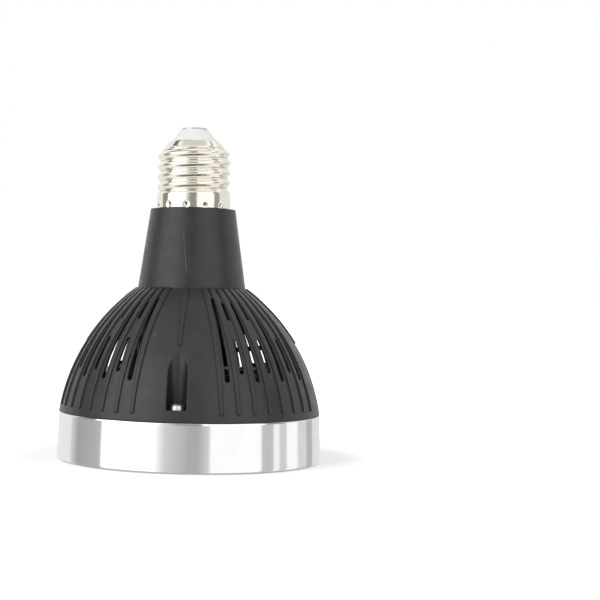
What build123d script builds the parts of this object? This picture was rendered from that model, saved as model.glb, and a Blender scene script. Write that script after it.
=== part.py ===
from build123d import *
import os
from math import cos, hypot, radians, sin, sqrt

# Reflector spotlight lamp, standing on its light face with the screw cap up.
# Millimetres and degrees. The origin is the centre of the front ring's foot, +Z runs to the cap.

# Front ring, turned from aluminium with a web that carries the light and the fan
RING_DIAMETER = 95.0
RING_HEIGHT = 17.0
RING_TAPER = 0.5
RING_WALL = 2.5
RING_FOOT_CHAMFER = 0.8
RING_RIM_CHAMFER = 0.4
WEB_THICKNESS = 3.0
WEB_DROP = 1.0

# Housing, one black moulding of dome and neck
DOME_HEIGHT = 44.6
DOME_BULGE = 67.0
DOME_WALL = 1.0
NECK_HEIGHT = 28.4
NECK_FOOT_DIAMETER = 38.8
NECK_TOP_DIAMETER = 30.6
NECK_WALL = 1.8
NECK_ROOF = 2.0
LIP_WALL = 1.6
LIP_FIT = 0.15
HEM_HEIGHT = 2.0

# Four panels, each with a screw channel, and the slots between them
PANELS = 4
SCREW_INSET = 4.6
CHANNEL_WIDTH = 6.8
CHANNEL_FLOOR = 4.0
CHANNEL_WALL = 1.4
SLOTS_BETWEEN_PANELS = 7
SLOT_PITCH = 7.5
SLOT_FOOT_WIDTH = 1.8
SLOT_HEAD_WIDTH = 1.0
LONG_SLOT_FOOT = 13.3
SHORT_SLOT_FOOT = 16.0
SLOT_HEAD = 4.8
PANEL_SLOT_HEAD = 3.4
BRIDGE_FOOT = 27.5
BRIDGE_HEIGHT = 6.3
RIDGE_HEIGHT = 0.45
RIDGE_FOOT_WIDTH = 1.0
RIDGE_HEAD_WIDTH = 2.0
RIDGE_FOOT = 2.7
PANEL_RIDGE_FOOT = 25.4
PANEL_RIDGE_FOOT_WIDTH = 0.8
PANEL_RIDGE_HEAD_WIDTH = 1.9

# Screws: thread diameter, head diameter and head height
SCREW_DIAMETER = 3.0
SCREW_HEAD_DIAMETER = 5.0
SCREW_HEAD_HEIGHT = 1.9
SCREW_BITE = 2.4
SCREW_PLAY = 0.2
THREAD_FIT = 0.05

# Fan and the finned plate under it
FAN_THICKNESS = 10.0
FAN_CORNER = 4.0
FAN_CLEARANCE = 0.7
FAN_FRAME_WALL = 1.3
FAN_HOLE_INSET = 5.0
FAN_TIP_GAP = 0.7
FAN_HUB_DIAMETER = 25.0
FAN_HUB_WALL = 1.2
FAN_BASE_THICKNESS = 1.6
FAN_STRUTS = 3
FAN_STRUT_WIDTH = 3.0
FAN_BLADES = 7
BLADE_THICKNESS = 1.0
BLADE_PITCH = 38.0
FAN_END_GAP = 0.6
SHAFT_DIAMETER = 2.0
SHAFT_FIT = 0.03
BEARING_DIAMETER = 5.0
BEARING_HEIGHT = 6.0
STATOR_GAP = 0.5
STATOR_HEIGHT = 4.0
STATOR_POLES = 4
STATOR_POLE_WIDTH = 7.5
SINK_BASE = 2.0
SINK_FIN_HEIGHT = 4.0
SINK_FIN_WIDTH = 1.6
SINK_FINS = 9
SINK_POST = 8.0

# Light face: board, light-emitting packages, lenses and their holder
FACE_RECESS = 1.5
HOLDER_THICKNESS = 2.5
HOLDER_FIT = 0.3
HOLDER_POST_DIAMETER = 9.0
LENS_EDGE = 2.6
LENS_GAP = 4.0
LENS_FIT = 0.1
LENS_BACK_DIAMETER = 13.0
LED_SIDE = 5.0
LED_HEIGHT = 1.2
LED_POCKET_FIT = 0.4
BOARD_THICKNESS = 1.6
BOARD_FIT = 0.5
WIRE_HOLE_DIAMETER = 4.6
WIRE_HOLE_ANGLE = 25.7

# Driver in the neck
CUP_DROP = 13.8
CUP_GRIP = 4.4
CUP_WALL = 1.4
CUP_FIT = 0.1
CUP_HOLE_DIAMETER = 5.0
CUP_HOLE_PLACE = (11.5, -8.2)
DRIVER_BOARD_THICKNESS = 1.6
DRIVER_BOARD_EDGE = 1.4
DRIVER_BOARD_FIT = 0.15
COMPONENT_GAP = 0.1
RAIL_WALL = 1.2
RAIL_GRIP = 1.5
RAIL_GAP = 0.5
BOBBIN_SIZE = (10.5, 9.0, 14.0)
CORE_SIZE = (15.0, 5.4, 9.8)
CAPACITOR_DIAMETER = 8.0
CAPACITOR_LENGTH = 14.0
CHOKE_DIAMETER = 6.0
CHOKE_LENGTH = 8.0
RECTIFIER_SIZE = (6.0, 2.6, 5.0)
FUSE_DIAMETER = 3.0
FUSE_LENGTH = 8.0

# Screw cap, E27
CAP_BAND_DIAMETER = 26.4
CAP_BAND_HEIGHT = 5.0
CAP_SHEET = 0.4
CAP_FIT = 0.1
THREAD_CREST_DIAMETER = 26.3
THREAD_ROOT_DIAMETER = 24.2
THREAD_HEIGHT = 14.6
THREAD_RUN_IN = 1.2
SHOULDER_HEIGHT = 4.8
SHOULDER_TOP_DIAMETER = 18.0
SPIGOT_HEIGHT = 12.0
SPIGOT_WALL = 1.6
INSULATOR_HEIGHT = 4.4
INSULATOR_TOP_DIAMETER = 9.6
INSULATOR_FLANGE = 1.6
CONTACT_DIAMETER = 9.0
CONTACT_HEIGHT = 0.7
CONTACT_STEM_DIAMETER = 2.4
CONTACT_TAIL = 1.0

# Insulated leads: sizes, straight ends, turning points and bend radii
WIRE_DIAMETER = 1.5
WIRE_SPACING = 1.8
LEAD_DIAMETER = 1.8
LEAD_END = 5.0
LED_WIRE_EXIT = 3.0
LED_WIRE_SAG = 1.0
LED_WIRE_LANDING = 1.5
LED_WIRE_BENDS = (2.6, 5.0, 8.0)
FAN_LEAD_SIDE = 11.9
FAN_LEAD_FOOT = 3.0
FAN_LEAD_OUT = 3.4
FAN_LEAD_LEAN = 2.6
FAN_LEAD_RISE = 9.5
FAN_LEAD_DIP = 1.5
FAN_LEAD_TURN = 4.5
FAN_LEAD_EXIT = 4.0
FAN_LEAD_BENDS = (2.4, 3.5, 3.0, 2.4)
CAP_WIRE_FOOT = 6.0
LIVE_WIRE_TURN = 6.0
LIVE_WIRE_END = 4.0
LIVE_WIRE_BENDS = (6.0, 4.0)
NEUTRAL_WIRE_TURN = 2.0
NEUTRAL_WIRE_END = 3.0
NEUTRAL_WIRE_BEND = 4.0

# Heights that follow from the sizes above
rim_z = RING_HEIGHT
web_top = rim_z - WEB_DROP
web_foot = web_top - WEB_THICKNESS
board_foot = web_foot - BOARD_THICKNESS
neck_z = rim_z + DOME_HEIGHT
cap_z = neck_z + NECK_HEIGHT
sink_top = web_top + SINK_BASE + SINK_FIN_HEIGHT
fan_top = sink_top + FAN_THICKNESS
channel_z = rim_z + CHANNEL_FLOOR
cup_foot = neck_z - CUP_DROP
cup_head = neck_z + CUP_GRIP
band_top = cap_z + CAP_BAND_HEIGHT
shoulder_z = band_top + THREAD_HEIGHT
shell_top = shoulder_z + SHOULDER_HEIGHT
insulator_top = shell_top + INSULATOR_HEIGHT
spigot_top = cap_z + SPIGOT_HEIGHT

# Radii that follow from the sizes above
ring_foot_r = RING_DIAMETER / 2
ring_top_r = ring_foot_r - RING_TAPER
ring_bore_r = ring_foot_r - RING_WALL
lip_r = ring_bore_r - LIP_FIT
lip_bore_r = lip_r - LIP_WALL
screw_circle_r = ring_top_r - SCREW_INSET
neck_foot_r = NECK_FOOT_DIAMETER / 2
neck_top_r = NECK_TOP_DIAMETER / 2
neck_taper = (neck_foot_r - neck_top_r) / NECK_HEIGHT
band_r = CAP_BAND_DIAMETER / 2
band_bore_r = band_r - CAP_SHEET
thread_root_r = THREAD_ROOT_DIAMETER / 2
thread_bore_r = thread_root_r - CAP_SHEET
spigot_r = thread_bore_r - CAP_FIT
spigot_bore_r = spigot_r - SPIGOT_WALL
holder_r = ring_bore_r - HOLDER_FIT
lens_r = (sqrt(2) * (holder_r - LENS_EDGE) - LENS_GAP) / (2 + sqrt(2))
lens_place = lens_r + LENS_GAP / 2
led_board_r = ring_bore_r - BOARD_FIT
shaft_r = SHAFT_DIAMETER / 2
fan_hub_r = FAN_HUB_DIAMETER / 2


def dome_centre():
    """Centre of the dome's bulge, as radius and height."""
    run = ring_top_r - neck_foot_r
    chord = hypot(run, DOME_HEIGHT)
    back = sqrt(DOME_BULGE ** 2 - chord ** 2 / 4)
    middle_r = (ring_top_r + neck_foot_r) / 2
    middle_z = rim_z + DOME_HEIGHT / 2
    return middle_r - back * DOME_HEIGHT / chord, middle_z - back * run / chord


def dome_radius(height, inset=0.0):
    """Radius of the dome at a height, on the surface or a distance inside it."""
    centre_r, centre_z = dome_centre()
    return centre_r + sqrt((DOME_BULGE - inset) ** 2 - (height - centre_z) ** 2)


def dome_height(radius, inset=0.0):
    """Height at which the dome has a radius, on the surface or a distance inside it."""
    centre_r, centre_z = dome_centre()
    return centre_z + sqrt((DOME_BULGE - inset) ** 2 - (radius - centre_r) ** 2)


def neck_radius(height, inset=0.0):
    """Radius of the neck's cone at a height."""
    return neck_foot_r - inset - neck_taper * (height - neck_z)


fan_corner_r = dome_radius(fan_top, DOME_WALL) - FAN_CLEARANCE
fan_half = (fan_corner_r - FAN_CORNER) / sqrt(2) + FAN_CORNER
fan_hole_place = fan_half - FAN_HOLE_INSET
fan_bore_r = fan_half - FAN_FRAME_WALL
driver_half = neck_radius(cap_z - NECK_ROOF, NECK_WALL) - DRIVER_BOARD_EDGE
cup_floor = cup_foot + CUP_WALL
driver_top = cap_z - NECK_ROOF - RAIL_GAP
shoulder_r = THREAD_CREST_DIAMETER / 2
shoulder_top_r = SHOULDER_TOP_DIAMETER / 2
shoulder_slope = (shoulder_r - shoulder_top_r) / SHOULDER_HEIGHT
shoulder_bore_z = shoulder_z + (shoulder_r - CAP_SHEET - thread_bore_r) / shoulder_slope
insulator_foot = shoulder_z - INSULATOR_FLANGE


def turned(*edges):
    """Solid turned about Z from a closed outline of radius and height."""
    return revolve(Plane.XZ * make_face(edges), Axis.Z)


def turned_through(*points):
    """Solid turned about Z from a closed outline of straight sides."""
    return turned(Polyline(*points, close=True))


def rod(radius, foot, head):
    """Upright round rod between two heights on the axis."""
    on_foot = (Align.CENTER, Align.CENTER, Align.MIN)
    return Pos(0, 0, foot) * Cylinder(radius, head - foot, align=on_foot)


def block(x, y, foot, head):
    """Upright block about the axis between two heights."""
    on_foot = (Align.CENTER, Align.CENTER, Align.MIN)
    return Pos(0, 0, foot) * Box(x, y, head - foot, align=on_foot)


def dome_edge(inset, low, high):
    """Arc of the dome's section between two heights."""
    middle = (low + high) / 2
    return ThreePointArc(
        (dome_radius(low, inset), low),
        (dome_radius(middle, inset), middle),
        (dome_radius(high, inset), high),
    )


def housing_outside():
    """Housing as if it were solid: lip, dome, neck and the spigot for the cap."""
    outline = Polyline(
        (neck_foot_r, neck_z),
        (neck_top_r, cap_z),
        (band_bore_r - CAP_FIT, cap_z),
        (band_bore_r - CAP_FIT, band_top - CAP_SHEET),
        (spigot_r, band_top - CAP_SHEET),
        (spigot_r, spigot_top),
        (0, spigot_top),
        (0, web_top),
        (lip_r, web_top),
        (lip_r, rim_z),
        (ring_top_r, rim_z),
    )
    return turned(dome_edge(0, rim_z, neck_z), outline)


def housing_inside():
    """Hollow of the housing, from the lip up through the spigot."""
    hem_z = rim_z + HEM_HEIGHT
    neck_bore_r = neck_radius(neck_z, NECK_WALL)
    join_z = dome_height(neck_bore_r, DOME_WALL)
    roof_z = cap_z - NECK_ROOF
    outline = Polyline(
        (neck_bore_r, join_z),
        (neck_bore_r, neck_z),
        (neck_radius(roof_z, NECK_WALL), roof_z),
        (spigot_bore_r, roof_z),
        (spigot_bore_r, spigot_top),
        (0, spigot_top),
        (0, web_top),
        (lip_bore_r, web_top),
        (lip_bore_r, hem_z),
        (dome_radius(hem_z, DOME_WALL), hem_z),
    )
    return turned(dome_edge(DOME_WALL, hem_z, join_z), outline)


def screw_channel():
    """Cut for one housing screw and its driver, open outwards, at the +X panel."""
    half = CHANNEL_WIDTH / 2
    reach = ring_foot_r - screw_circle_r
    well = rod(half, channel_z, neck_z)
    mouth = Pos(reach / 2, 0, 0) * block(reach, CHANNEL_WIDTH, channel_z, neck_z)
    hole = rod(SCREW_DIAMETER / 2 + SCREW_PLAY, web_top, channel_z)
    return well + mouth + hole


def slot_width(height):
    """Width of a slot at a height: the slots narrow evenly from their feet to the neck."""
    foot = rim_z + LONG_SLOT_FOOT
    share = (height - foot) / (neck_z - foot)
    return SLOT_FOOT_WIDTH + (SLOT_HEAD_WIDTH - SLOT_FOOT_WIDTH) * share


def slot(foot, head):
    """Cut for one slot of the dome with round ends between two heights, at the +X side."""
    inner = dome_radius(head, DOME_WALL) - DOME_WALL
    outer = dome_radius(foot) + DOME_WALL
    low = slot_width(foot) / 2
    high = slot_width(head) / 2
    ends = Pos(0, foot + low) * Circle(low) + Pos(0, head - high) * Circle(high)
    mouth = Plane.YZ.offset(inner) * make_hull(ends.edges())
    return extrude(mouth, outer - inner)


def slot_cuts():
    """All slots: long ones and split ones take turns, and those beside the panels reach highest."""
    head = neck_z - SLOT_HEAD
    bridge = rim_z + BRIDGE_FOOT
    panel_slot = slot(rim_z + LONG_SLOT_FOOT, neck_z - PANEL_SLOT_HEAD)
    long_slot = slot(rim_z + LONG_SLOT_FOOT, head)
    low_slot = slot(rim_z + SHORT_SLOT_FOOT, bridge)
    high_slot = slot(bridge + BRIDGE_HEIGHT, head)
    cuts = []
    for panel in range(PANELS):
        middle = (panel + 0.5) * 360 / PANELS
        for place in range(SLOTS_BETWEEN_PANELS):
            turn = Rot(0, 0, middle + (place - (SLOTS_BETWEEN_PANELS - 1) / 2) * SLOT_PITCH)
            if place in (0, SLOTS_BETWEEN_PANELS - 1):
                cuts.append(turn * panel_slot)
            elif place % 2 == 0:
                cuts.append(turn * long_slot)
            else:
                cuts += [turn * low_slot, turn * high_slot]
    return cuts


def ridge(foot, foot_width, head_width):
    """One raised rib of the dome from a height up to the neck, at the +X side."""
    head = neck_z + RIDGE_HEIGHT
    reach = dome_radius(foot, -RIDGE_HEIGHT) + RIDGE_HEIGHT
    low = foot_width / 2
    high = head_width / 2
    taper = Polyline((-low, foot), (low, foot), (high, head), (-high, head), close=True)
    sides = Plane.YZ * make_face(taper)
    root = DOME_WALL / 2
    band = turned(
        dome_edge(-RIDGE_HEIGHT, foot, neck_z),
        dome_edge(root, foot, neck_z),
        Line((dome_radius(foot, root), foot), (dome_radius(foot, -RIDGE_HEIGHT), foot)),
        Line((dome_radius(neck_z, root), neck_z), (dome_radius(neck_z, -RIDGE_HEIGHT), neck_z)),
    )
    return band & extrude(sides, reach)


def ridges():
    """Ribs on both sides of every slot, and one above each screw channel."""
    rib = ridge(rim_z + RIDGE_FOOT, RIDGE_FOOT_WIDTH, RIDGE_HEAD_WIDTH)
    panel_rib = ridge(rim_z + PANEL_RIDGE_FOOT, PANEL_RIDGE_FOOT_WIDTH, PANEL_RIDGE_HEAD_WIDTH)
    step = 360 / PANELS
    placed = []
    for panel in range(PANELS):
        placed.append(Rot(0, 0, panel * step) * panel_rib)
        for place in range(SLOTS_BETWEEN_PANELS + 1):
            turn = (panel + 0.5) * step + (place - SLOTS_BETWEEN_PANELS / 2) * SLOT_PITCH
            placed.append(Rot(0, 0, turn) * rib)
    return placed


def board_rails():
    """Two pairs of ribs in the neck that hold the driver board by its edges."""
    inner = driver_half - RAIL_GRIP
    outer = neck_foot_r
    foot = cup_head + RAIL_GAP
    rail = Pos((inner + outer) / 2, 0, 0) * block(outer - inner, RAIL_WALL, foot, cap_z - NECK_ROOF)
    offset = DRIVER_BOARD_THICKNESS / 2 + DRIVER_BOARD_FIT + RAIL_WALL / 2
    pair = [Pos(0, offset, 0) * rail, Pos(0, -offset, 0) * rail]
    return pair + [Rot(0, 0, 180) * side for side in pair]


def housing():
    """Slotted dome and neck with four screw channels."""
    outside = housing_outside()
    post = rod(CHANNEL_WIDTH / 2 + CHANNEL_WALL, web_top, neck_z)
    panels = PolarLocations(screw_circle_r, PANELS)
    posts = [outside & place * post for place in panels]
    rails = [outside & rail for rail in board_rails()]
    body = outside - housing_inside() + posts + rails + ridges()
    return body - [place * screw_channel() for place in panels] - slot_cuts()


def front_ring():
    """Turned ring with its web and the holes for every screw that bites in it."""
    ring = turned_through(
        (0, web_foot),
        (ring_bore_r, web_foot),
        (ring_bore_r, 0),
        (ring_foot_r - RING_FOOT_CHAMFER, 0),
        (ring_foot_r, RING_FOOT_CHAMFER),
        (ring_top_r, rim_z - RING_RIM_CHAMFER),
        (ring_top_r - RING_RIM_CHAMFER, rim_z),
        (ring_bore_r, rim_z),
        (ring_bore_r, web_top),
        (0, web_top),
    )
    hole = rod(SCREW_DIAMETER / 2 + THREAD_FIT, web_foot, web_top)
    holes = [place * hole for place in PolarLocations(screw_circle_r, PANELS)]
    holes += [place * hole for place in fan_screw_places()]
    holes.append(hole)
    wire_hole = Pos(*wire_hole_place()) * rod(WIRE_HOLE_DIAMETER / 2, web_foot, web_top)
    return ring - holes - wire_hole


def wire_hole_place():
    """Where the leads of the light go down through the web, beside the fan."""
    middle = (fan_half + lip_bore_r) / 2
    return -middle * sin(radians(WIRE_HOLE_ANGLE)), -middle * cos(radians(WIRE_HOLE_ANGLE))


def square_places(half):
    """Corners of a square about the axis."""
    return [Pos(x, y, 0) for x in (-half, half) for y in (-half, half)]


def fan_screw_places():
    """Two opposite corners of the fan."""
    first, *_, last = square_places(fan_hole_place)
    return [first, last]


def screw(seat):
    """Pan-head screw: its head stands on the seat, its end bites in the web."""
    head_r = SCREW_HEAD_DIAMETER / 2
    shank_r = SCREW_DIAMETER / 2
    tip = web_top - SCREW_BITE
    top = seat + SCREW_HEAD_HEIGHT
    return turned_through(
        (0, tip),
        (shank_r, tip),
        (shank_r, seat),
        (head_r, seat),
        (head_r, top),
        (0, top),
    )


def housing_screws():
    """Four screws at the feet of the channels."""
    places = PolarLocations(screw_circle_r, PANELS)
    return Compound(children=[place * screw(channel_z) for place in places])


def fan_screws():
    """Two screws through the fan and the finned plate into the web."""
    return Compound(children=[place * screw(fan_top) for place in fan_screw_places()])


def rounded_square(foot, head):
    """Square plate with the fan's outline between two heights."""
    outline = RectangleRounded(2 * fan_half, 2 * fan_half, FAN_CORNER)
    return extrude(Pos(0, 0, foot) * outline, head - foot)


def heat_sink():
    """Finned plate with four corner posts under the fan."""
    base_top = web_top + SINK_BASE
    plate = rounded_square(web_top, base_top)
    fin_length = 2 * fan_hole_place - SINK_POST
    pitch = fin_length / (SINK_FINS - 1)
    fin = block(SINK_FIN_WIDTH, fin_length, base_top, sink_top)
    fins = [Pos((i - (SINK_FINS - 1) / 2) * pitch, 0, 0) * fin for i in range(SINK_FINS)]
    post = block(SINK_POST, SINK_POST, base_top, sink_top)
    posts = [corner * post for corner in square_places(fan_hole_place)]
    hole = rod(SCREW_DIAMETER / 2 + SCREW_PLAY, web_top, sink_top)
    return plate + fins + posts - [place * hole for place in fan_screw_places()]


def fan_frame():
    """Square frame with a round bore, struts and the tube that carries the bearing."""
    body = rounded_square(sink_top, fan_top) - rod(fan_bore_r, sink_top, fan_top)
    base_top = sink_top + FAN_BASE_THICKNESS
    strut_length = fan_bore_r + FAN_FRAME_WALL
    strut = Pos(strut_length / 2, 0, 0) * block(strut_length, FAN_STRUT_WIDTH, sink_top, base_top)
    struts = [Rot(0, 0, 90 + i * 360 / FAN_STRUTS) * strut for i in range(FAN_STRUTS)]
    tube_r = BEARING_DIAMETER / 2 + FAN_HUB_WALL
    carrier = rod(fan_hub_r, sink_top, base_top) + rod(tube_r, sink_top, base_top + BEARING_HEIGHT)
    hole = rod(SCREW_DIAMETER / 2 + SCREW_PLAY, sink_top, fan_top)
    holes = [corner * hole for corner in square_places(fan_hole_place)]
    bearing_seat = rod(BEARING_DIAMETER / 2, base_top, base_top + BEARING_HEIGHT)
    return body + struts + carrier - bearing_seat - holes


def fan_bearing():
    """Plain sleeve bearing in the tube of the frame."""
    foot = sink_top + FAN_BASE_THICKNESS
    head = foot + BEARING_HEIGHT
    return rod(BEARING_DIAMETER / 2, foot, head) - rod(shaft_r + SHAFT_FIT, foot, head)


def fan_stator():
    """Laminated core with its poles, on the tube of the frame."""
    foot = sink_top + FAN_BASE_THICKNESS
    tube_r = BEARING_DIAMETER / 2 + FAN_HUB_WALL
    reach = fan_hub_r - FAN_HUB_WALL - STATOR_GAP
    pole_reach = sqrt(reach ** 2 - STATOR_POLE_WIDTH ** 2 / 4)
    core = rod(tube_r + FAN_HUB_WALL, foot, foot + STATOR_HEIGHT)
    pole = block(2 * pole_reach, STATOR_POLE_WIDTH, foot, foot + STATOR_HEIGHT)
    arms = [Rot(0, 0, i * 360 / STATOR_POLES) * pole for i in range(STATOR_POLES // 2)]
    return core + arms - rod(tube_r, foot, foot + STATOR_HEIGHT)


def fan_blade():
    """One slanted blade from the hub to near the bore."""
    foot = sink_top + FAN_BASE_THICKNESS + FAN_END_GAP
    head = fan_top - FAN_END_GAP
    rise = head - foot
    tip_r = fan_bore_r - FAN_TIP_GAP
    length = tip_r + FAN_HUB_WALL
    plate = Box(length, BLADE_THICKNESS, 4 * rise, align=(Align.MIN, Align.CENTER, Align.CENTER))
    slanted = Pos(0, 0, (foot + head) / 2) * Rot(90 - BLADE_PITCH, 0, 0) * plate
    return slanted & (rod(tip_r, foot, head) - rod(fan_hub_r - FAN_HUB_WALL / 2, foot, head))


def fan_rotor():
    """Hub cup with its blades."""
    foot = sink_top + FAN_BASE_THICKNESS + FAN_END_GAP
    head = fan_top - FAN_END_GAP
    cup = rod(fan_hub_r, foot, head) - rod(fan_hub_r - FAN_HUB_WALL, foot, head - FAN_HUB_WALL)
    blade = fan_blade()
    blades = [Rot(0, 0, i * 360 / FAN_BLADES) * blade for i in range(FAN_BLADES)]
    return cup + blades - rod(shaft_r, foot, head)


def fan_shaft():
    """Steel shaft pressed in the rotor, running in the bearing."""
    return rod(shaft_r, sink_top + FAN_BASE_THICKNESS, fan_top - FAN_END_GAP)


def led_board():
    """Round metal-backed board under the web."""
    board = rod(led_board_r, board_foot, web_foot)
    wire_hole = Pos(*wire_hole_place()) * rod(WIRE_HOLE_DIAMETER / 2, board_foot, web_foot)
    return board - wire_hole - rod(SCREW_DIAMETER / 2 + SCREW_PLAY, board_foot, web_foot)


def led():
    """One square light-emitting package on the board's face."""
    return block(LED_SIDE, LED_SIDE, board_foot - LED_HEIGHT, board_foot)


def lens_cone(grow):
    """Cone of one lens from the face to the board, grown sideways."""
    return turned_through(
        (0, FACE_RECESS),
        (lens_r + grow, FACE_RECESS),
        (LENS_BACK_DIAMETER / 2 + grow, board_foot),
        (0, board_foot),
    )


def lens():
    """One collimating lens, standing on the board over its package."""
    side = LED_SIDE + 2 * LED_POCKET_FIT
    return lens_cone(0) - block(side, side, board_foot - LED_HEIGHT - LED_POCKET_FIT, board_foot)


def lens_holder():
    """Black plate with four tapered seats and a post on the board."""
    back = FACE_RECESS + HOLDER_THICKNESS
    plate = rod(holder_r, FACE_RECESS, back)
    post = rod(HOLDER_POST_DIAMETER / 2, FACE_RECESS, board_foot)
    seats = [place * lens_cone(LENS_FIT) for place in square_places(lens_place)]
    return plate + post - seats - rod(SCREW_DIAMETER / 2 + SCREW_PLAY, FACE_RECESS, board_foot)


def driver_cup():
    """Insulating cup round the driver, plugged in the foot of the neck."""
    outer = turned_through(
        (0, cup_foot),
        (neck_radius(cup_foot, NECK_WALL + CUP_FIT), cup_foot),
        (neck_radius(cup_head, NECK_WALL + CUP_FIT), cup_head),
        (0, cup_head),
    )
    inner = turned_through(
        (0, cup_floor),
        (neck_radius(cup_floor, NECK_WALL + CUP_FIT + CUP_WALL), cup_floor),
        (neck_radius(cup_head, NECK_WALL + CUP_FIT + CUP_WALL), cup_head),
        (0, cup_head),
    )
    hole = rod(CUP_HOLE_DIAMETER / 2, cup_foot, cup_floor)
    x, y = CUP_HOLE_PLACE
    return outer - inner - [Pos(x, y, 0) * hole, Pos(-x, y, 0) * hole]


def driver_board():
    """Upright board between the rails of the neck, standing on the cup's floor."""
    return block(2 * driver_half, DRIVER_BOARD_THICKNESS, cup_floor, driver_top)


def on_board(side, depth):
    """Shift that stands a piece of a depth on one side of the driver board."""
    return Pos(0, side * (DRIVER_BOARD_THICKNESS / 2 + COMPONENT_GAP + depth / 2), 0)


def transformer():
    """Wound transformer with its core on the board's back."""
    bobbin_x, bobbin_y, bobbin_z = BOBBIN_SIZE
    core_x, core_y, core_z = CORE_SIZE
    core_foot = neck_z + (bobbin_z - core_z) / 2
    bobbin = block(bobbin_x, bobbin_y, neck_z, neck_z + bobbin_z)
    core = block(core_x, core_y, core_foot, core_foot + core_z)
    return on_board(1, bobbin_y) * (bobbin + core)


def capacitor(x, foot):
    """Round electrolytic capacitor on the board's front."""
    can = rod(CAPACITOR_DIAMETER / 2, foot, foot + CAPACITOR_LENGTH)
    return on_board(-1, CAPACITOR_DIAMETER) * Pos(x, 0, 0) * can


def input_capacitor():
    """Capacitor after the rectifier, on the side of the cap's live lead."""
    return capacitor(driver_half / 2, neck_z + CUP_WALL)


def output_capacitor():
    """Capacitor of the light's supply, on the side of its leads."""
    return capacitor(-driver_half / 2, neck_z + CUP_WALL)


def line_choke():
    """Drum choke on the board's back, under the transformer."""
    drum = rod(CHOKE_DIAMETER / 2, neck_z - CHOKE_LENGTH - RAIL_GAP, neck_z - RAIL_GAP)
    return on_board(1, CHOKE_DIAMETER) * drum


def rectifier():
    """Flat rectifier block on the board's front, near its top."""
    x, y, z = RECTIFIER_SIZE
    return on_board(-1, y) * block(x, y, driver_top - z - RAIL_GAP, driver_top - RAIL_GAP)


def fuse_resistor():
    """Fusible resistor upright on the board's back, near its top."""
    body = rod(FUSE_DIAMETER / 2, driver_top - FUSE_LENGTH - RAIL_GAP, driver_top - RAIL_GAP)
    return on_board(1, FUSE_DIAMETER) * body


def screw_shell():
    """Cap shell: plain band, a valley, the thread's depth between crest and root, and the shoulder."""
    return turned_through(
        (band_bore_r, cap_z),
        (band_r, cap_z),
        (band_r, band_top),
        (thread_root_r, band_top + THREAD_RUN_IN / 2),
        (shoulder_r, band_top + THREAD_RUN_IN),
        (shoulder_r, shoulder_z),
        (shoulder_top_r, shell_top),
        (shoulder_top_r - CAP_SHEET, shell_top),
        (thread_bore_r, shoulder_bore_z),
        (thread_bore_r, band_top - CAP_SHEET),
        (band_bore_r, band_top - CAP_SHEET),
    )


def base_insulator():
    """Insulating cone that closes the cap and carries the contact."""
    return turned_through(
        (CONTACT_STEM_DIAMETER / 2, insulator_foot),
        (thread_bore_r - CAP_FIT, insulator_foot),
        (thread_bore_r - CAP_FIT, shoulder_bore_z),
        (shoulder_top_r - CAP_SHEET - CAP_FIT, shell_top),
        (INSULATOR_TOP_DIAMETER / 2, insulator_top),
        (CONTACT_STEM_DIAMETER / 2, insulator_top),
    )


def centre_contact():
    """Contact disc with a stem through the insulator."""
    stem_r = CONTACT_STEM_DIAMETER / 2
    foot = insulator_foot - CONTACT_TAIL
    top = insulator_top + CONTACT_HEIGHT
    disc_r = CONTACT_DIAMETER / 2
    return turned_through(
        (0, foot),
        (stem_r, foot),
        (stem_r, insulator_top),
        (disc_r, insulator_top),
        (disc_r, top),
        (0, top),
    )


def lead(diameter, points, radii):
    """Round insulated lead along straight runs joined by arcs."""
    path = FilletPolyline(*points, radius=radii)
    section = Plane(path @ 0, z_dir=path % 0) * Circle(diameter / 2)
    return sweep(section, path)


def led_wire(shift):
    """Lead of the light from the driver, out of the cup and down beside the fan, moved sideways."""
    x, y = wire_hole_place()
    hole_x, hole_y = CUP_HOLE_PLACE
    exit_z = cup_foot - LED_WIRE_EXIT
    points = [
        (shift - hole_x, hole_y, cup_floor + LEAD_END),
        (shift - hole_x, hole_y, exit_z),
        (shift + x, (hole_y + y) / 2, exit_z - LED_WIRE_SAG),
        (shift + x, y, fan_top + LED_WIRE_LANDING),
        (shift + x, y, board_foot),
    ]
    return lead(WIRE_DIAMETER, points, LED_WIRE_BENDS)


def led_wire_red():
    """Positive lead of the light."""
    return led_wire(-WIRE_SPACING / 2)


def led_wire_black():
    """Negative lead of the light."""
    return led_wire(WIRE_SPACING / 2)


def fan_lead():
    """Twin lead of the fan, from the frame's side across the air space into the cup."""
    hole_x, hole_y = CUP_HOLE_PLACE
    out_x = fan_half + FAN_LEAD_OUT
    low_z = sink_top + FAN_LEAD_FOOT
    high_z = fan_top + FAN_LEAD_RISE
    points = [
        (fan_half, -FAN_LEAD_SIDE, low_z),
        (out_x, -FAN_LEAD_SIDE, low_z),
        (out_x - FAN_LEAD_LEAN, -FAN_LEAD_SIDE, high_z),
        (hole_x + FAN_LEAD_TURN, -FAN_LEAD_SIDE, high_z - FAN_LEAD_DIP),
        (hole_x, hole_y, cup_foot - FAN_LEAD_EXIT),
        (hole_x, hole_y, cup_floor + LEAD_END),
    ]
    return lead(LEAD_DIAMETER, points, FAN_LEAD_BENDS)


def cap_wire_start(side):
    """Lower end of a lead to the cap, on the back of the driver board."""
    y = DRIVER_BOARD_THICKNESS / 2 + COMPONENT_GAP + WIRE_DIAMETER / 2
    return side * driver_half / 2, y, driver_top - CAP_WIRE_FOOT


def live_wire():
    """Lead from the driver board to the centre contact."""
    x, y, foot = cap_wire_start(1)
    end = insulator_foot - CONTACT_TAIL
    points = [
        (x, y, foot),
        (x, y, spigot_top - LIVE_WIRE_TURN),
        (0, 0, end - LIVE_WIRE_END),
        (0, 0, end),
    ]
    return lead(WIRE_DIAMETER, points, LIVE_WIRE_BENDS)


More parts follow.
